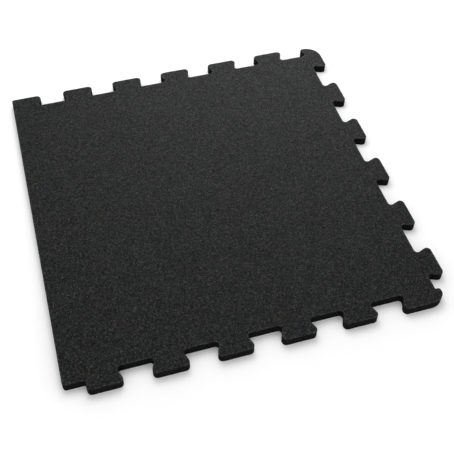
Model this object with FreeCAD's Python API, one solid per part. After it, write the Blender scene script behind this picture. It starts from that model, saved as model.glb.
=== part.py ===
"""Interlocking rubber edge tile: one flat slab of bonded rubber granules, cut to shape.

One long side is a straight edge. The other three carry rounded dovetail knobs with gaps between
them, and neighbouring tiles lock into those. Millimetres, +Z up. X runs from the straight edge to
the knobs of the right side, and Y from the near side to the far side. The sizes below count X from
the straight edge and Y from the near gap line, and the finished slab's origin is the middle of its
underside.
"""
import FreeCAD, Part
import math
import os

from FreeCAD import Vector

# Slab, measured between the gap lines that the knobs stand on
thickness = 25.0
body_width = 956.0
body_depth = 956.0
arris = 1.5                # small bevel all round the walking face

# Regular knob, a dovetail that is wider at its head than at its neck
knob_height = 44.0
head_width = 102.5
neck_width = 67.0
head_radius = 12.0
root_radius = 8.4
least_mouth = 40.0         # least opening left between a row's last knob and the corner knob

# Middle of each side's first regular knob, and the spacing of the row
near_first, near_pitch = 95.4, 161.4
right_first, right_pitch = 76.5, 171.3
far_first, far_pitch = 202.5, 156.7

# Straight edge's two ends: a short proud land at the near end, a half knob at the far end
near_land = 16.0           # how far the land stands out of the near gap line
near_land_end = 48.0       # from the straight edge to the head corner of the first near knob
near_edge_radius = 8.0
far_edge_radius = 6.0
half_knob_width = 93.0     # from the straight edge to the half knob's head corner

# Far right corner, one knob that wraps round the corner of the two gap lines
wrap_along_far = 16.0      # from that corner to its head corner on the far side
wrap_along_right = 72.6    # from that corner to its head corner on the right side
wrap_reach = 34.5          # how far it stands out of the far gap line
wrap_radius = 46.0         # its large outer rounding
wrap_left_radius = 7.5

# Near right corner, a knob of the near side with a small shoulder on the right side
shoulder_along_near = 104.2  # from the right gap line to the knob's head corner
shoulder_reach = 13.4      # how far the shoulder stands out of the right gap line
shoulder_low = 22.0        # from the near gap line down to the bevel of the shoulder
shoulder_tip = 2.5         # from the near gap line down to the end of the shoulder's side
shoulder_root = 6.0        # from the near gap line down to where the shoulder meets the slab
bevel_head_radius = 38.0   # rounding between the knob's head and the bevel
bevel_side_radius = 10.0   # rounding between the bevel and the shoulder's side
tip_radius = 8.0
tip_root_radius = 2.5

LINE_SHARE = 0.05          # least share of each straight run that two neighbouring arcs leave


def flank_lean(height):
    """How far a flank leans outwards between the gap line and a height above it."""
    return (head_width - neck_width) / 2 * height / knob_height


def knob(centre):
    """Corners of one regular knob: distance along its side, height and radius."""
    neck, head = neck_width / 2, head_width / 2
    return [
        (centre - neck, 0, root_radius),
        (centre - head, knob_height, head_radius),
        (centre + head, knob_height, head_radius),
        (centre + neck, 0, root_radius),
    ]


def knob_row(first, pitch, corner_knob):
    """Corners of a side's row of regular knobs, as many as fit before its corner knob."""
    room = corner_knob - least_mouth - head_width / 2 - first
    return [corner for i in range(int(room // pitch) + 1) for corner in knob(first + i * pitch)]


def near_side():
    """Corners from the straight edge to the right gap line: x, y and radius."""
    land_end = near_land_end + flank_lean(knob_height - near_land)
    land = [
        (0, -near_land, near_edge_radius),
        (land_end, -near_land, root_radius),
        (near_land_end, -knob_height, head_radius),
    ]
    row = knob_row(near_first, near_pitch, body_width - shoulder_along_near)[2:]
    return land + [(along, -height, radius) for along, height, radius in row] + shoulder_knob()


def shoulder_knob():
    """Corners of the near right knob and its shoulder: x, y and radius."""
    knob_left = body_width - shoulder_along_near
    shoulder_x = body_width + shoulder_reach
    return [
        (knob_left + flank_lean(knob_height), 0, root_radius),
        (knob_left, -knob_height, head_radius),
        (body_width, -knob_height, bevel_head_radius),
        (shoulder_x, -shoulder_low, bevel_side_radius),
        (shoulder_x, -shoulder_tip, tip_radius),
        (body_width, -shoulder_root, tip_root_radius),
    ]


def right_side():
    """Corners of the right side's regular knobs: x, y and radius."""
    row = knob_row(right_first, right_pitch, body_depth - wrap_along_right)
    return [(body_width + height, along, radius) for along, height, radius in row]


def wrapped_knob():
    """Corners of the knob that wraps round the far right corner: x, y and radius."""
    wrap_left = body_width - wrap_along_far
    wrap_low = body_depth - wrap_along_right
    wrap_top = body_depth + wrap_reach
    return [
        (body_width, wrap_low + flank_lean(knob_height), root_radius),
        (body_width + knob_height, wrap_low, head_radius),
        (body_width + knob_height, wrap_top, wrap_radius),
        (wrap_left, wrap_top, wrap_left_radius),
        (wrap_left + flank_lean(wrap_reach), body_depth, root_radius),
    ]


def far_side():
    """Corners of the far side, from the wrapped knob back to the straight edge."""
    row = knob_row(far_first, far_pitch, body_width - wrap_along_far)[::-1]
    return [(along, body_depth + height, radius) for along, height, radius in row] + [
        (half_knob_width - flank_lean(knob_height), body_depth, root_radius),
        (half_knob_width, body_depth + knob_height, head_radius),
        (0, body_depth + knob_height, far_edge_radius),
    ]


def rounded_outline(corners):
    """Closed wire of straight lines with a tangent arc at each corner.

    An arc is made smaller only where the straight run beside it is too short for it.
    """
    points = [Vector(x, y, 0) for x, y, _ in corners]
    count = len(points)
    ahead = [(points[(i + 1) % count] - points[i]) for i in range(count)]
    half_angles = [(ahead[i - 1] * -1).getAngle(ahead[i]) / 2 for i in range(count)]
    wanted = [corner[2] / math.tan(half) for corner, half in zip(corners, half_angles)]
    room = [
        min(1, (1 - LINE_SHARE) * ahead[i].Length / (wanted[i] + wanted[(i + 1) % count]))
        for i in range(count)
    ]
    starts, middles, ends = [], [], []
    for i, half in enumerate(half_angles):
        tangent = wanted[i] * min(room[i - 1], room[i])
        radius = tangent * math.tan(half)
        backward = (ahead[i - 1] * -1).normalize()
        forward = Vector(ahead[i]).normalize()
        starts.append(points[i] + backward * tangent)
        middles.append(points[i] + (backward + forward).normalize() * (radius / math.sin(half) - radius))
        ends.append(points[i] + forward * tangent)
    edges = []
    for i in range(count):
        edges.append(Part.LineSegment(ends[i - 1], starts[i]).toShape())
        edges.append(Part.Arc(starts[i], middles[i], ends[i]).toShape())
    return Part.Wire(edges)


def tile():
    """The whole slab, with its walking face bevelled and its origin under its middle."""
    outline = rounded_outline(near_side() + right_side() + wrapped_knob() + far_side())
    slab = Part.Face(outline).extrude(Vector(0, 0, thickness))
    walking_edges = [edge for edge in slab.Edges if edge.BoundBox.ZMin > thickness / 2]
    slab = slab.makeChamfer(arris, walking_edges)
    slab.translate(Vector(-(body_width + knob_height) / 2, -body_depth / 2, 0))
    return slab


os.makedirs("parts", exist_ok=True)
rubber_tile = tile()
rubber_tile.exportStep("parts/rubber_tile.step")
size = rubber_tile.BoundBox
print("valid", rubber_tile.isValid(), "solids", len(rubber_tile.Solids), "faces", len(rubber_tile.Faces))
print("X", round(size.XMin, 3), round(size.XMax, 3), "Y", round(size.YMin, 3), round(size.YMax, 3))
print("Z", round(size.ZMin, 3), round(size.ZMax, 3), "volume", round(rubber_tile.Volume / 1e6, 3), "litres")
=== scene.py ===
"""Dresses the rubber edge tile as a slab of bonded granules lying on a pale studio floor.

Everything is in metres and in the part's own frame: +Z up out of the walking face, +X from the
straight edge to the knobs opposite it, and the origin under the middle of the slab.
"""

import logging
import math
from dataclasses import dataclass, field
from enum import Enum

import bpy
import numpy as np
from mathutils import Matrix, Vector
from mathutils.geometry import delaunay_2d_cdt


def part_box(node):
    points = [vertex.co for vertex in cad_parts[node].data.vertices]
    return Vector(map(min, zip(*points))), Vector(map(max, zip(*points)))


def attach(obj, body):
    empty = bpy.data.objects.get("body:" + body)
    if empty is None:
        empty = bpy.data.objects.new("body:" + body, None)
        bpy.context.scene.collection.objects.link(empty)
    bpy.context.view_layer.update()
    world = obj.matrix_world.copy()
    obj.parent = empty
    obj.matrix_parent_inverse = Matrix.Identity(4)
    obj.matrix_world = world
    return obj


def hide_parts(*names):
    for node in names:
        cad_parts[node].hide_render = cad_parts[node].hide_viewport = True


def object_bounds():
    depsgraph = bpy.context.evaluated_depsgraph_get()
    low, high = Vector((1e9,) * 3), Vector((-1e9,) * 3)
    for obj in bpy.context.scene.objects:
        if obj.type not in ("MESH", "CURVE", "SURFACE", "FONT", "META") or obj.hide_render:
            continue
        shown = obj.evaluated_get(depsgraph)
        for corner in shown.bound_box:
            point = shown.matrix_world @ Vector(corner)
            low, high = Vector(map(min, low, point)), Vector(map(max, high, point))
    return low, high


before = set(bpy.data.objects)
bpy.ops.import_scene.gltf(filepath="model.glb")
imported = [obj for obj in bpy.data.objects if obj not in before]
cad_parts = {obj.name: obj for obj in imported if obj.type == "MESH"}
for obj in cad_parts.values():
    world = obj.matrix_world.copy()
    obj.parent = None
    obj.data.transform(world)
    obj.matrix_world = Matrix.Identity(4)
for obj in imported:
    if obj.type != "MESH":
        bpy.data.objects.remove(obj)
CAD_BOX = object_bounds()
MILLIMETRE = 0.001
FILL_INSIDE = 1             # the triangulation keeps only what lies inside its ring
SAME_PLACE = 1e-7           # and takes points nearer than this for one

log = logging.getLogger("rubber_tile")


def put_in_scene(made: bpy.types.Object) -> bpy.types.Object:
    """Links an object to the scene and gives it back."""
    bpy.context.scene.collection.objects.link(made)
    return made


class Surface(Enum):
    """The three kinds of surface on a moulded and cut slab, by material index."""

    WALKING = 0
    CUT_WALL = 1
    UNDERSIDE = 2


class Reach(Enum):
    """Which part of a surface's look a lamp adds to."""

    MATT = "matt light"
    SHEEN = "sheen"


class Socket:
    """An output of a shader node that can be used in a Python expression."""

    def __init__(self, graph: "Graph", output: bpy.types.NodeSocket) -> None:
        """Remembers the graph and the output."""
        self.graph = graph
        self.output = output

    def _math(self, operation: str, *values: "Socket | float") -> "Socket":
        """Adds one Math node.

        Args:
            operation: The Math node's operation.
            values: Its inputs, in order.

        Returns:
            The node's result.
        """
        return self.graph.node("ShaderNodeMath", {"operation": operation}, dict(enumerate(values)))

    def __add__(self, other: "Socket | float") -> "Socket":
        """Sum."""
        return self._math("ADD", self, other)

    def __radd__(self, other: float) -> "Socket":
        """Sum, number first."""
        return self._math("ADD", other, self)

    def __sub__(self, other: "Socket | float") -> "Socket":
        """Difference."""
        return self._math("SUBTRACT", self, other)

    def __rsub__(self, other: float) -> "Socket":
        """Difference, number first."""
        return self._math("SUBTRACT", other, self)

    def __mul__(self, other: "Socket | float") -> "Socket":
        """Product."""
        return self._math("MULTIPLY", self, other)

    def __rmul__(self, other: float) -> "Socket":
        """Product, number first."""
        return self._math("MULTIPLY", other, self)

    def __pow__(self, other: "Socket | float") -> "Socket":
        """Power."""
        return self._math("POWER", self, other)

    def between(self, low: float, high: float) -> "Socket":
        """Smooth step from 0 at low to 1 at high.

        Args:
            low: The value that gives 0.
            high: The value that gives 1.

        Returns:
            The stepped value.
        """
        settings = {"interpolation_type": "SMOOTHSTEP"}
        inputs = {"Value": self, "From Min": low, "From Max": high}
        return self.graph.node("ShaderNodeMapRange", settings, inputs)


class Graph:
    """A node tree that is filled through one method."""

    def __init__(self, tree: bpy.types.NodeTree) -> None:
        """Empties the tree."""
        self.tree = tree
        tree.nodes.clear()

    def node(self, kind: str, settings: dict, inputs: dict, output: int | str = 0) -> Socket:
        """Adds any node.

        Args:
            kind: The node's type.
            settings: Properties of the node, set before its inputs.
            inputs: Values or sockets, by input name or number.
            output: The output that is returned.

        Returns:
            The chosen output.
        """
        made = self.tree.nodes.new(kind)
        for name, value in settings.items():
            setattr(made, name, value)
        for name, value in inputs.items():
            if isinstance(value, Socket):
                self.tree.links.new(value.output, made.inputs[name])
            else:
                made.inputs[name].default_value = value
        return Socket(self, made.outputs[output]) if len(made.outputs) else Socket(self, None)

    def channels(self, colour: Socket) -> tuple[Socket, ...]:
        """Splits a colour into red, green and blue."""
        return tuple(self.node("ShaderNodeSeparateColor", {}, {"Color": colour}, n) for n in range(3))


@dataclass(frozen=True)
class GranuleFinish:
    """Matt rubber granules in a dark binder, as they look on one kind of surface."""

    name: str
    tone: tuple[float, float, float]    # mean colour of the granules
    granule: float                      # size of a granule
    contrast: float                     # how far most granules stray from the mean tone
    specks_and_glints: float                       # how much lighter the few lightest ones are: partly light granules, partly painted glints
    joint: float                        # width of the dark joints between granules, as a share
    relief: float                       # height of the grain
    roughness: float
    specular: float
    wear_and_highlight_gain: float = 0.0              # how much lighter the rubbed edge is: partly wear, partly a painted highlight along the arris
    hue_lots: float = 0.10              # how far single granules lean to warm or cool
    hue_patches: float = 0.50           # how far slow patches lean to red or blue
    joint_shade: float = 0.55           # how dark the joints are, 0 to 1
    lost_share: float = 0.07            # share of granules that have come out of the surface
    lost_step: float = 0.01             # share that is neither quite sound nor quite lost, halved
    hole_painted_shade: float = 0.85            # painted shade in their holes, how dark, 0 to 1
    patch: float = 45 * MILLIMETRE      # size of the slow patches
    patch_swing: float = 0.3            # how far the patches lighten and darken, in all
    dust_swing: float = 0.4             # the same for the dust
    dust_scale: float = 2.2             # grains of dust in the width of a granule
    specks_and_glints_power: float = 8.0            # the higher it is, the fewer granules are lightened as specks and painted glints
    crook: float = 1.2                  # how far the granules' sides are pushed, in granules
    crook_scale: float = 0.8            # bends of the sides in the width of a granule
    rises: tuple[float, ...] = (0.5, 0.35, 0.3, -0.4, -0.8)     # granule, its dome, dust, joint, hole
    roughens: tuple[float, ...] = (0.12, 0.25, 0.3, -0.06)      # dust, joint, hole, rubbed edge strip that also carries a painted highlight

    def material(self) -> bpy.types.Material:
        """Builds the finish as one procedural material.

        Returns:
            The material.
        """
        made = bpy.data.materials.new(self.name)
        made.use_nodes = True
        graph = Graph(made.node_tree)
        place = graph.node("ShaderNodeTexCoord", {}, {}, "Object")
        dusty = {"Vector": place, "Scale": self.dust_scale / self.granule, "Detail": 2.0}
        dust = graph.node("ShaderNodeTexNoise", {}, dusty)
        cells = self._cells(graph, place)
        shade, kind, level = graph.channels(graph.node("ShaderNodeTexVoronoi", {}, cells, "Color"))
        centre = graph.node("ShaderNodeTexVoronoi", {}, cells, "Distance")
        edge = graph.node("ShaderNodeTexVoronoi", {"feature": "DISTANCE_TO_EDGE"}, cells, "Distance")
        joint = 1 - edge.between(0.0, self.joint)
        lost = 1 - level.between(self.lost_share - self.lost_step, self.lost_share + self.lost_step)
        wear_and_highlight = graph.node("ShaderNodeAttribute", {"attribute_name": "wear_and_highlight"}, {}, "Fac")

        by_level, by_dome, by_dust, by_joint, by_hole = self.rises
        height = by_level * level + by_dome * (1 - centre) + by_dust * dust
        height = height + by_joint * joint + by_hole * lost
        bumps = {"Height": height, "Distance": self.relief, "Strength": 1.0}
        by_dust, by_joint, by_hole, by_wear_and_highlight = self.roughens
        rough = self.roughness + by_dust * (dust - 0.5) + by_joint * joint + by_hole * lost + by_wear_and_highlight * wear_and_highlight
        # The holes of lost granules are darkened with painted shade; the joints are the dark binder.
        share = (1 - self.joint_shade * joint) * (1 - self.hole_painted_shade * lost)
        # The strip along the arris is lightened here: partly rubbed wear, partly a painted highlight.
        share = share * (1 - self.dust_swing / 2 + self.dust_swing * dust) * (1 + self.wear_and_highlight_gain * wear_and_highlight)
        shader = graph.node("ShaderNodeBsdfPrincipled", {}, {
            "Base Color": self._colour(graph, place, shade, kind, share), "Roughness": rough,
            "Normal": graph.node("ShaderNodeBump", {}, bumps), "Specular IOR Level": self.specular,
        })
        graph.node("ShaderNodeOutputMaterial", {}, {"Surface": shader})
        return made

    def _cells(self, graph: Graph, place: Socket) -> dict:
        """Gives the inputs of the cell pattern, with one cell for each granule.

        The place is pushed about by a fine noise, so that the cells get crooked sides.

        Args:
            graph: The material's graph.
            place: The place on the piece.

        Returns:
            The inputs of every Voronoi node.
        """
        bends = {"Vector": place, "Scale": self.crook_scale / self.granule}
        noise = graph.node("ShaderNodeTexNoise", {}, bends, "Color")
        push = graph.node("ShaderNodeVectorMath", {"operation": "SUBTRACT"}, {0: noise, 1: (0.5, 0.5, 0.5)})
        pushed = {0: push, "Scale": self.crook * self.granule}
        push = graph.node("ShaderNodeVectorMath", {"operation": "SCALE"}, pushed)
        crooked = graph.node("ShaderNodeVectorMath", {"operation": "ADD"}, {0: place, 1: push})
        return {"Vector": crooked, "Scale": 1 / self.granule, "Randomness": 1.0}

    def _colour(self, graph: Graph, place: Socket, shade: Socket, kind: Socket, share: Socket) -> Socket:
        """Works out the colour of the granules.

        With t from 0 to 1 for each granule, the mean tone is multiplied by
        1 + contrast (2 t - 1) + specks_and_glints t^specks_and_glints_power, by the given share and by
        slow patches; the few lightest granules are partly light granules and partly painted glints. It
        leans a little to warm or cool from granule to granule, and to red or blue from patch to
        patch.

        Args:
            graph: The material's graph.
            place: The place on the piece.
            shade: A random number for each granule, 0 to 1, for how light it is.
            kind: A random number for each granule, 0 to 1, for how warm it is.
            share: What else makes the surface lighter or darker.

        Returns:
            The colour.
        """
        patches = graph.node("ShaderNodeTexNoise", {}, {"Vector": place, "Scale": 1 / self.patch}, "Color")
        red, blue, light = graph.channels(patches)
        spread = 1 - self.contrast + 2 * self.contrast * shade
        # The few lightest granules: partly light granules, partly painted glints.
        share = share * (spread + self.specks_and_glints * shade ** self.specks_and_glints_power)
        share = share * (1 - self.patch_swing / 2 + self.patch_swing * light)
        lean = self.hue_lots * (kind - 0.5)
        hues = graph.node("ShaderNodeCombineXYZ", {}, {
            "X": 1 + lean + self.hue_patches * (red - 0.5), "Y": 1.0,
            "Z": 1 - lean + self.hue_patches * (blue - 0.5),
        })
        hued = graph.node("ShaderNodeVectorMath", {"operation": "MULTIPLY"}, {0: self.tone, 1: hues})
        return graph.node("ShaderNodeVectorMath", {"operation": "SCALE"}, {0: hued, "Scale": share})


FINISHES = {
    Surface.WALKING: GranuleFinish(
        "granules_walking_face", (0.0124, 0.0133, 0.0131), granule=2.5 * MILLIMETRE, contrast=0.75,
        specks_and_glints=3.0, joint=0.10, relief=0.7 * MILLIMETRE, roughness=0.56, specular=0.12, wear_and_highlight_gain=0.9,
    ),
    # The cut wall's tone is darker than the walking face's: partly cut rubber's own tone, partly painted
    # shade of its pits.
    Surface.CUT_WALL: GranuleFinish(
        "cut_wall_granules_with_painted_shade", (0.0072, 0.0076, 0.0075), granule=2.6 * MILLIMETRE, contrast=0.45,
        specks_and_glints=1.0, joint=0.10, relief=0.8 * MILLIMETRE, roughness=0.8, specular=0.08, wear_and_highlight_gain=0.3,
    ),
    Surface.UNDERSIDE: GranuleFinish(
        "granules_underside", (0.0120, 0.0126, 0.0124), granule=3.2 * MILLIMETRE, contrast=0.45,
        specks_and_glints=1.0, joint=0.10, relief=0.5 * MILLIMETRE, roughness=0.7, specular=0.1,
    ),
}


@dataclass
class TilePlan:
    """Sizes of the tile seen from above, in millimetres.

    X counts from the straight edge and Y from the near gap line, the line that the near knobs
    stand on. The slab's origin is the middle of its underside.
    """

    body: tuple[float, float] = (956.0, 956.0)      # between opposite gap lines
    knob_height: float = 44.0
    head_width: float = 102.5
    neck_width: float = 67.0
    head_radius: float = 12.0
    root_radius: float = 8.4
    near_row: tuple[float, float, int] = (95.4, 161.4, 5)   # first centre, pitch and count of knobs
    right_row: tuple[float, float, int] = (76.5, 171.3, 5)
    far_row: tuple[float, float, int] = (202.5, 156.7, 5)
    near_land: float = 16.0
    near_land_end: float = 48.0
    near_edge_radius: float = 8.0
    far_edge_radius: float = 6.0
    half_knob_width: float = 93.0
    wrap_along_far: float = 16.0
    wrap_along_right: float = 72.6
    wrap_reach: float = 34.5
    wrap_radii: tuple[float, float] = (46.0, 7.5)
    shoulder_along_near: float = 104.2
    shoulder_reach: float = 13.4
    shoulder_drops: tuple[float, float, float] = (22.0, 2.5, 6.0)       # bevel, side's end, root
    shoulder_radii: tuple[float, float, float, float] = (38.0, 10.0, 8.0, 2.5)
    line_share: float = 0.05            # least share of a straight run that two arcs leave
    arc_steps: int = 24

    def _lean(self, height: float) -> float:
        """How far a flank leans outwards between the gap line and a height above it."""
        return (self.head_width - self.neck_width) / 2 * height / self.knob_height

    def _row(self, first: float, pitch: float, count: int) -> np.ndarray:
        """Carries the corners of one regular knob along its row.

        Args:
            first: Middle of the first knob.
            pitch: From one knob's middle to the next.
            count: How many knobs there are.

        Returns:
            Distance along the side, height and radius of each corner.
        """
        neck, head = self.neck_width / 2, self.head_width / 2
        knob = np.array([
            (-neck, 0, self.root_radius), (-head, self.knob_height, self.head_radius),
            (head, self.knob_height, self.head_radius), (neck, 0, self.root_radius),
        ])
        shift = np.zeros((count, 1, 3))
        shift[:, 0, 0] = first + pitch * np.arange(count)
        return (knob + shift).reshape(-1, 3)

    def _near_side(self) -> np.ndarray:
        """Corners of the land, the near knobs and the knob with the shoulder: X, Y and radius.

        The land ends in the left side of the first knob, so the row starts at that knob's right.
        """
        head, root, width = self.head_radius, self.root_radius, self.body[0]
        bevel_low, side_end, shoulder_root = self.shoulder_drops
        head_bevel, side_bevel, tip, tip_root = self.shoulder_radii
        land_end = self.near_land_end + self._lean(self.knob_height - self.near_land)
        land = [
            (0, -self.near_land, self.near_edge_radius), (land_end, -self.near_land, root),
            (self.near_land_end, -self.knob_height, head),
        ]
        knob_left = width - self.shoulder_along_near
        shoulder = [
            (knob_left + self._lean(self.knob_height), 0, root), (knob_left, -self.knob_height, head),
            (width, -self.knob_height, head_bevel), (width + self.shoulder_reach, -bevel_low, side_bevel),
            (width + self.shoulder_reach, -side_end, tip), (width, -shoulder_root, tip_root),
        ]
        return np.vstack([land, self._row(*self.near_row)[2:] * (1, -1, 1), shoulder])

    def _right_side(self) -> np.ndarray:
        """Corners of the right knobs and the knob that wraps the far corner: X, Y and radius."""
        (width, depth), (outer, inner) = self.body, self.wrap_radii
        low, top, left = depth - self.wrap_along_right, depth + self.wrap_reach, width - self.wrap_along_far
        row = self._row(*self.right_row)[:, [1, 0, 2]] + (width, 0, 0)
        wrapped = [
            (width, low + self._lean(self.knob_height), self.root_radius),
            (width + self.knob_height, low, self.head_radius), (width + self.knob_height, top, outer),
            (left, top, inner), (left + self._lean(self.wrap_reach), depth, self.root_radius),
        ]
        return np.vstack([row, wrapped])

    def _far_side(self) -> np.ndarray:
        """Corners of the far knobs from right to left and of the half knob: X, Y and radius."""
        depth, half = self.body[1], self.half_knob_width
        row = self._row(*self.far_row)[::-1] + (0, depth, 0)
        half_knob = [
            (half - self._lean(self.knob_height), depth, self.root_radius),
            (half, depth + self.knob_height, self.head_radius),
            (0, depth + self.knob_height, self.far_edge_radius),
        ]
        return np.vstack([row, half_knob])

    def loop(self) -> np.ndarray:
        """Rounds every corner of the plan with a tangent arc.

        An arc of radius r at a corner whose half angle is a touches the runs r / tan(a) from the
        corner, and its centre lies r / sin(a) along the bisector. It is made smaller only where
        a run is too short for it. Its points turn evenly from one touching point to the other.

        Returns:
            The outline in metres, counterclockwise seen from above.
        """
        corners = np.vstack([self._near_side(), self._right_side(), self._far_side()])
        point, radius = corners[:, :2], corners[:, 2]
        run = np.roll(point, -1, 0) - point
        length = np.hypot(*run.T)
        forward = run / length[:, None]
        backward = -np.roll(forward, 1, 0)
        half = np.arccos(np.clip((forward * backward).sum(1), -1, 1)) / 2
        reach = radius / np.tan(half)
        room = np.minimum(1, (1 - self.line_share) * length / (reach + np.roll(reach, -1)))
        reach = reach * np.minimum(room, np.roll(room, 1))
        radius = reach * np.tan(half)
        bisector = (forward + backward) / np.hypot(*(forward + backward).T)[:, None]
        centre = point + bisector * (radius / np.sin(half))[:, None]
        first, last = point + backward * reach[:, None] - centre, point + forward * reach[:, None] - centre
        turn = (math.pi - 2 * half)[:, None]
        share = np.linspace(0, 1, self.arc_steps)
        of_first, of_last = (np.sin(part * turn) / np.sin(turn) for part in (1 - share, share))
        arcs = (
            centre[:, None] + of_first[..., None] * first[:, None] + of_last[..., None] * last[:, None]
        )
        middle = ((self.body[0] + self.knob_height) / 2, self.body[1] / 2)
        return (arcs.reshape(-1, 2) - middle) * MILLIMETRE


@dataclass
class Outline:
    """The tile's outline, resampled evenly, with the side that faces outwards."""

    loop: np.ndarray
    spacing: float = 2.4 * MILLIMETRE
    points: np.ndarray = field(init=False)
    outward: np.ndarray = field(init=False)
    at: np.ndarray = field(init=False)
    length: float = field(init=False)

    def __post_init__(self) -> None:
        """Spaces the points evenly along the loop and turns each tangent a quarter clockwise."""
        closed = np.vstack([self.loop, self.loop[:1]])
        travelled = np.concatenate([[0], np.cumsum(np.hypot(*np.diff(closed, axis=0).T))])
        self.length = float(travelled[-1])
        self.at = np.arange(round(self.length / self.spacing)) * self.spacing
        self.at *= self.length / (len(self.at) * self.spacing)
        self.points = np.column_stack([np.interp(self.at, travelled, axis) for axis in closed.T])
        along = np.roll(self.points, -1, 0) - np.roll(self.points, 1, 0)
        along /= np.hypot(*along.T)[:, None]
        self.outward = np.column_stack([along[:, 1], -along[:, 0]])


@dataclass
class GranuleSlab:
    """The slab's own surface: granular walls, a crumbly arris, and a walking face with fine relief."""

    outline: Outline
    low: float                              # height of the underside
    high: float                             # height of the walking face
    arris: float = 1.6 * MILLIMETRE         # mean rounding of the arris
    arris_swing: float = 0.3 * MILLIMETRE   # how far that rounding varies
    swing_most: float = 1.5                 # its greatest swing, as a multiple of that
    chips: int = 300                        # spots where granules have come off the arris
    chip_depth: float = 0.9 * MILLIMETRE
    chip_shares: tuple[float, float] = (0.3, 1.0)       # least and most of that depth that a chip has
    chip_widths: tuple[float, float] = (1.5, 4.0)       # a chip's least and most half width, in mm
    wall_relief: float = 0.4 * MILLIMETRE
    face_relief: float = 0.2 * MILLIMETRE
    arris_grain: float = 0.6                # the wall's relief at the foot of the arris, as a share
    grain_run: float = 0.5                  # how far a point's grain follows that of the one before
    border: float = 5.0 * MILLIMETRE        # strip of the face from the wall inwards that is lighter, partly rubbed and partly a painted highlight
    border_rows: tuple[float, ...] = (0.22, 0.6, 1.0)   # its rows, from the arris to its inner line
    border_wear_and_highlight: tuple[float, ...] = (1.0, 0.6, 0.0)    # how much each of them is lightened, by wear and by painted highlight
    arris_wear_and_highlight: tuple[float, float] = (-0.2, 0.8)       # the same for the arris's foot and top
    cell: float = 4.5 * MILLIMETRE          # spacing of the walking face's points
    under_cell: float = 24 * MILLIMETRE
    scatter: float = 0.33                   # how far the points stray from their grid, in cells
    crease: float = 50.0                    # sharpest turn that is shaded smooth, in degrees
    wall_rows: int = 7
    arris_rows: int = 4
    seed: int = 11

    def build(self) -> bpy.types.Object:
        """Makes the whole closed surface as one object.

        Returns:
            The object, at the origin, with one material for each kind of surface.
        """
        chance = np.random.default_rng(self.seed)
        rim = self._rim(chance)
        rows, count = rim.shape[:2]
        face_points, face = self._sheet(rim[-1, :, :2], self.cell, chance)
        under_points, under = self._sheet(rim[0, :, :2], self.under_cell, chance)
        relief = self.face_relief * chance.random(len(face_points))
        face_rest = np.column_stack([face_points, self.high - relief])
        under_rest = np.column_stack([under_points, np.full(len(under_points), self.low)])
        vertices = np.vstack([rim.reshape(-1, 3), face_rest, under_rest])

        face = np.where(face < count, face + (rows - 1) * count, face - count + rows * count)
        under = np.where(under < count, under, under - count + rows * count + len(face_rest))
        quads = self._rim_quads(rows, count)
        wear_and_highlight = np.zeros(len(vertices))
        # Painted highlight along the arris, together with wear: each rim row is lightened by these values.
        wear_and_highlight[: rows * count] = np.repeat(self._wear_and_highlight(), count)
        made = self._mesh(vertices, quads, face, under[:, ::-1], wear_and_highlight)
        triangles = 2 * len(quads) + len(face) + len(under)
        log.info("slab: %d points round the rim, %d triangles in all", count, triangles)
        return made

    def _rim(self, chance: np.random.Generator) -> np.ndarray:
        """Carries the wall's profile along the outline.

        The profile rises straight, turns over the arris in a quarter circle, and runs on into the
        walking face over the border. The quarter circle's radius varies along the outline and is
        larger where granules have come off. The grain pushes each point inwards, or down on the
        face, by a random share of the relief.

        Args:
            chance: The source of random numbers.

        Returns:
            Rows of points from the underside to the walking face, rows by columns by XYZ.
        """
        count = len(self.outline.points)
        radius = self._arris_radius(chance)
        rise = np.linspace(0, 1, self.wall_rows)[:, None]
        turn = np.linspace(0, math.pi / 2, self.arris_rows + 1)[1:, None]
        border = radius + np.array(self.border_rows)[:, None] * (self.border - radius)
        wall_top = self.high - radius
        height = np.vstack([
            self.low + rise * (wall_top - self.low), wall_top + radius * np.sin(turn),
            np.full(border.shape, self.high),
        ])
        depth = np.vstack([np.zeros((self.wall_rows, count)), radius * (1 - np.cos(turn)), border])
        grain = chance.random(height.shape)
        grain = (grain + self.grain_run * np.roll(grain, 1, 1)) / (1 + self.grain_run)
        arris_fade = self.arris_grain * np.cos(turn.ravel())
        fade = np.concatenate([np.ones(self.wall_rows), arris_fade, np.zeros(len(border))])
        depth = depth + self.wall_relief * grain * fade[:, None]
        height[-len(border):] -= self.face_relief * grain[-len(border):]
        place = self.outline.points - self.outline.outward * depth[..., None]
        return np.dstack([place, height])

    def _wear_and_highlight(self) -> np.ndarray:
        """Says how much each row of the rim is lightened: below 0 where it is torn, 1 just inside the arris,
        partly by wear and partly as a painted highlight.
        """
        arris = np.linspace(*self.arris_wear_and_highlight, self.arris_rows + 1)
        return np.concatenate([np.zeros(self.wall_rows - 1), arris, self.border_wear_and_highlight])

    def _arris_radius(self, chance: np.random.Generator) -> np.ndarray:
        """Works out the rounding of the arris at each point of the outline.

        It is the mean rounding, plus a random swing, which is averaged over three points with
        the weights 1, 2 and 1, plus a bell-shaped chip wherever granules have come off.

        Args:
            chance: The source of random numbers.

        Returns:
            The radius at each point.
        """
        at, length = self.outline.at, self.outline.length
        swing = chance.standard_normal(len(at))
        swing = (np.roll(swing, 1) + 2 * swing + np.roll(swing, -1)) / 4
        where = chance.uniform(0, length, self.chips)
        width = chance.uniform(*self.chip_widths, self.chips) * MILLIMETRE
        depth = chance.uniform(*self.chip_shares, self.chips) * self.chip_depth
        apart = (at[:, None] - where + length / 2) % length - length / 2
        bells = np.max(depth * np.exp(-((apart / width) ** 2)), axis=1)
        return self.arris + self.arris_swing * np.clip(swing, -self.swing_most, self.swing_most) + bells

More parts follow.
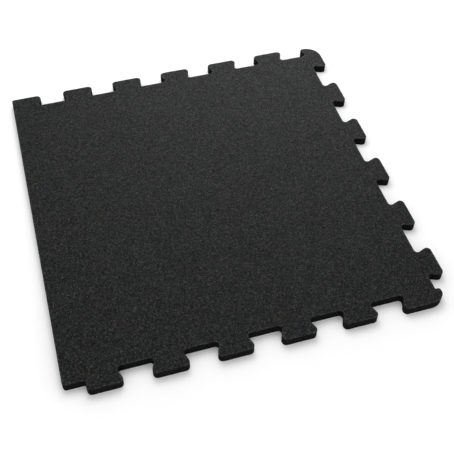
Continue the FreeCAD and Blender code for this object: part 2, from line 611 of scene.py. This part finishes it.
    def _sheet(
        self, ring: np.ndarray, cell: float, chance: np.random.Generator
    ) -> tuple[np.ndarray, np.ndarray]:
        """Fills a ring with irregular triangles about one cell wide.

        The points lie on a grid, each moved at random by up to a third of a cell, and those
        within a cell of the ring are left out.

        Args:
            ring: The boundary's points in the plane.
            cell: The grid's spacing.
            chance: The source of random numbers.

        Returns:
            The new points inside, and triangles that count the ring's points first.
        """
        low, high = ring.min(0) - cell, ring.max(0) + cell
        columns, rows = np.ceil((high - low) / cell).astype(int) + 1
        inside = self._inside(ring, low, cell, rows, columns)
        kept = inside.copy()
        for down in (-1, 0, 1):
            for across in (-1, 0, 1):
                kept &= np.roll(inside, (down, across), (0, 1))
        row, column = np.nonzero(kept)
        shift = chance.uniform(-self.scatter, self.scatter, (len(row), 2))
        points = low + cell * np.column_stack([column, row]) + cell * shift
        everything = [Vector(p) for p in np.vstack([ring, points])]
        result = delaunay_2d_cdt(everything, [], [list(range(len(ring)))], FILL_INSIDE, SAME_PLACE)
        origin = np.array([source[0] for source in result[3]])
        return points, origin[np.array(result[2])]

    @staticmethod
    def _inside(ring: np.ndarray, low: np.ndarray, cell: float, rows: int, columns: int) -> np.ndarray:
        """Finds which grid points lie inside a ring.

        A point is inside when the ring crosses its row an odd number of times to its left.

        Args:
            ring: The boundary's points.
            low: The grid's first point.
            cell: The grid's spacing.
            rows: How many rows the grid has.
            columns: How many columns it has.

        Returns:
            True for the points inside, rows by columns.
        """
        start, end = ring, np.roll(ring, -1, 0)
        level = (low[1] + cell * np.arange(rows))[:, None]
        crosses = (start[:, 1] <= level) != (end[:, 1] <= level)
        row, edge = np.nonzero(crosses)
        share = (level[row, 0] - start[edge, 1]) / (end[edge, 1] - start[edge, 1])
        x = start[edge, 0] + share * (end[edge, 0] - start[edge, 0])
        toggles = np.zeros((rows, columns), int)
        np.add.at(toggles, (row, np.ceil((x - low[0]) / cell).astype(int)), 1)
        return np.cumsum(toggles, 1) % 2 == 1

    @staticmethod
    def _rim_quads(rows: int, count: int) -> np.ndarray:
        """Joins neighbouring points of the rim into four-sided faces that point outwards.

        Args:
            rows: Rows of the rim.
            count: Points in each row.

        Returns:
            The faces.
        """
        here = np.arange(count)
        after = np.roll(here, -1)
        base = (np.arange(rows - 1) * count)[:, None]
        quads = np.stack([base + here, base + after, base + count + after, base + count + here], axis=-1)
        return quads.reshape(-1, 4)

    def _mesh(
        self, vertices: np.ndarray, quads: np.ndarray, face: np.ndarray, under: np.ndarray, wear_and_highlight: np.ndarray
    ) -> bpy.types.Object:
        """Turns the arrays into an object.

        Args:
            vertices: Every point.
            quads: The rim's faces.
            face: The walking face's triangles.
            under: The underside's triangles.
            wear_and_highlight: How much each point is lightened, 0 to 1, partly by wear and partly as a
                painted highlight, or below 0 where it is torn.

        Returns:
            The object.
        """
        mesh = bpy.data.meshes.new("bonded_granule_slab")
        corners = np.concatenate([quads.ravel(), face.ravel(), under.ravel()])
        sizes = np.repeat([4, 3, 3], [len(quads), len(face), len(under)])
        wall_quads = (self.wall_rows - 1) * len(self.outline.points)
        kinds = np.repeat(
            [Surface.CUT_WALL.value, Surface.WALKING.value, Surface.UNDERSIDE.value],
            [wall_quads, len(quads) - wall_quads + len(face), len(under)],
        )
        mesh.vertices.add(len(vertices))
        mesh.vertices.foreach_set("co", vertices.astype(np.float32).ravel())
        mesh.loops.add(len(corners))
        mesh.loops.foreach_set("vertex_index", corners.astype(np.int32))
        mesh.polygons.add(len(sizes))
        mesh.polygons.foreach_set("loop_start", (np.cumsum(sizes) - sizes).astype(np.int32))
        mesh.polygons.foreach_set("material_index", kinds.astype(np.int32))
        mesh.update(calc_edges=True)
        mesh.validate()
        wear_and_highlight_layer = mesh.attributes.new("wear_and_highlight", "FLOAT", "POINT")
        wear_and_highlight_layer.data.foreach_set("value", wear_and_highlight.astype(np.float32))
        mesh.shade_smooth()
        mesh.set_sharp_from_angle(angle=math.radians(self.crease))
        for surface in Surface:
            mesh.materials.append(FINISHES[surface].material())
        return put_in_scene(bpy.data.objects.new(mesh.name, mesh))


@dataclass(frozen=True)
class Lamp:
    """A round soft lamp that shines at the middle of the tile."""

    name: str
    azimuth: float          # from +Y towards +X, in degrees
    height: float           # above the floor, in degrees
    distance: float         # from the tile's middle
    size: float             # its diameter
    power: float
    reach: Reach

    def hang(self) -> None:
        """Makes the lamp and turns it to the tile."""
        azimuth, height = math.radians(self.azimuth), math.radians(self.height)
        towards = Vector((
            math.sin(azimuth) * math.cos(height), math.cos(azimuth) * math.cos(height), math.sin(height),
        ))
        light = bpy.data.lights.new(self.name, "AREA")
        light.shape, light.size, light.energy = "DISK", self.size, self.power
        holder = bpy.data.objects.new(self.name, light)
        holder.rotation_mode = "QUATERNION"
        holder.visible_diffuse = self.reach is Reach.MATT
        holder.visible_glossy = self.reach is Reach.SHEEN
        holder.location = towards * self.distance
        holder.rotation_quaternion = towards.to_track_quat("Z", "Y")
        put_in_scene(holder)


LAMPS = (
    Lamp("key_lamp", azimuth=0.0, height=66.0, distance=1.9, size=1.5, power=14.0, reach=Reach.MATT),
    Lamp("rear_lamp", azimuth=26.0, height=18.0, distance=2.0, size=2.2, power=34.0, reach=Reach.SHEEN),
)


@dataclass
class Studio:
    """The floor, the light and the camera."""

    floor_size: float = 14.0
    floor_drop: float = 0.2 * MILLIMETRE
    floor_tone: float = 0.74            # as the object sees it
    floor_seen: tuple[float, float] = (1.05, 1.4)       # as the camera sees it, near by and far out
    floor_reach: tuple[float, float] = (0.6, 1.6)       # from the middle, where the one turns into the other
    sky_strength: float = 0.76
    eye: tuple[float, float, float] = (-0.3775, -1.4036, 1.6686)
    look_at: tuple[float, float, float] = (0.0013, -0.1443, 0.025)
    roll: float = 0.61                  # degrees, right side up
    focal_share: float = 777.9 / 454    # focal length over the picture's width
    sensor: float = 36.0

    def build(self) -> None:
        """Makes everything round the object."""
        self._floor()
        self._sky()
        for lamp in LAMPS:
            lamp.hang()
        self._camera()
        bpy.context.scene.view_settings.view_transform = "Standard"

    def _floor(self) -> None:
        """Lays a pale floor that shows white to the camera and keeps the object's shadow."""
        half = self.floor_size / 2
        corners = [(-half, -half), (half, -half), (half, half), (-half, half)]
        mesh = bpy.data.meshes.new("studio_floor")
        mesh.from_pydata([(x, y, CAD_BOX[0].z - self.floor_drop) for x, y in corners], [], [(0, 1, 2, 3)])
        material = bpy.data.materials.new("pale_floor")
        material.use_nodes = True
        graph = Graph(material.node_tree)
        seen = graph.node("ShaderNodeLightPath", {}, {}, "Is Camera Ray")
        place = graph.node("ShaderNodeTexCoord", {}, {}, "Object")
        from_middle = graph.node("ShaderNodeVectorMath", {"operation": "LENGTH"}, {0: place}, "Value")
        near_by, far_out = self.floor_seen
        shown = near_by + (far_out - near_by) * from_middle.between(*self.floor_reach)
        level = self.floor_tone + (shown - self.floor_tone) * seen
        tone = graph.node("ShaderNodeCombineXYZ", {}, {"X": level, "Y": level, "Z": level})
        shader = graph.node("ShaderNodeBsdfDiffuse", {}, {"Color": tone})
        graph.node("ShaderNodeOutputMaterial", {}, {"Surface": shader})
        mesh.materials.append(material)
        put_in_scene(bpy.data.objects.new("studio_floor", mesh))

    def _sky(self) -> None:
        """Surrounds the scene with even soft light that shows white behind the floor."""
        world = bpy.data.worlds.new("studio_sky")
        world.use_nodes = True
        graph = Graph(world.node_tree)
        seen = graph.node("ShaderNodeLightPath", {}, {}, "Is Camera Ray")
        strength = self.sky_strength + (1 - self.sky_strength) * seen
        sky = graph.node("ShaderNodeBackground", {}, {"Color": (1, 1, 1, 1), "Strength": strength})
        graph.node("ShaderNodeOutputWorld", {}, {"Surface": sky})
        bpy.context.scene.world = world

    def _camera(self) -> None:
        """Stands the camera at the photograph's viewpoint."""
        lens = bpy.data.cameras.new("camera")
        lens.sensor_width = self.sensor
        lens.lens = self.focal_share * self.sensor
        lens.clip_start, lens.clip_end = 0.05, 60.0
        camera = bpy.data.objects.new("camera", lens)
        away = (Vector(self.look_at) - Vector(self.eye)).normalized()
        level = away.to_track_quat("-Z", "Y").to_matrix().to_4x4()
        tilt = Matrix.Rotation(math.radians(self.roll), 4, "Z")
        camera.matrix_world = Matrix.Translation(self.eye) @ level @ tilt
        bpy.context.scene.camera = put_in_scene(camera)


def main() -> None:
    """Builds the slab and the studio in order and reports each piece."""
    logging.basicConfig(level=logging.INFO, format="%(name)s %(message)s")
    outline = Outline(TilePlan().loop())
    low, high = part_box("rubber_tile")
    excess = max(np.max(outline.points.max(0) - high[:2]), np.max(low[:2] - outline.points.min(0)))
    log.info("outline: %.3f m round, %d points", outline.length, len(outline.points))
    log.info("outline: at most %.3f mm past the part's box", excess / MILLIMETRE)
    slab = GranuleSlab(outline, low=CAD_BOX[0].z, high=CAD_BOX[1].z).build()
    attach(slab, "root")
    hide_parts("rubber_tile")
    Studio().build()
    log.info("studio: floor, sky, %d lamps and camera", len(LAMPS))


if __name__ == "__main__":
    main()
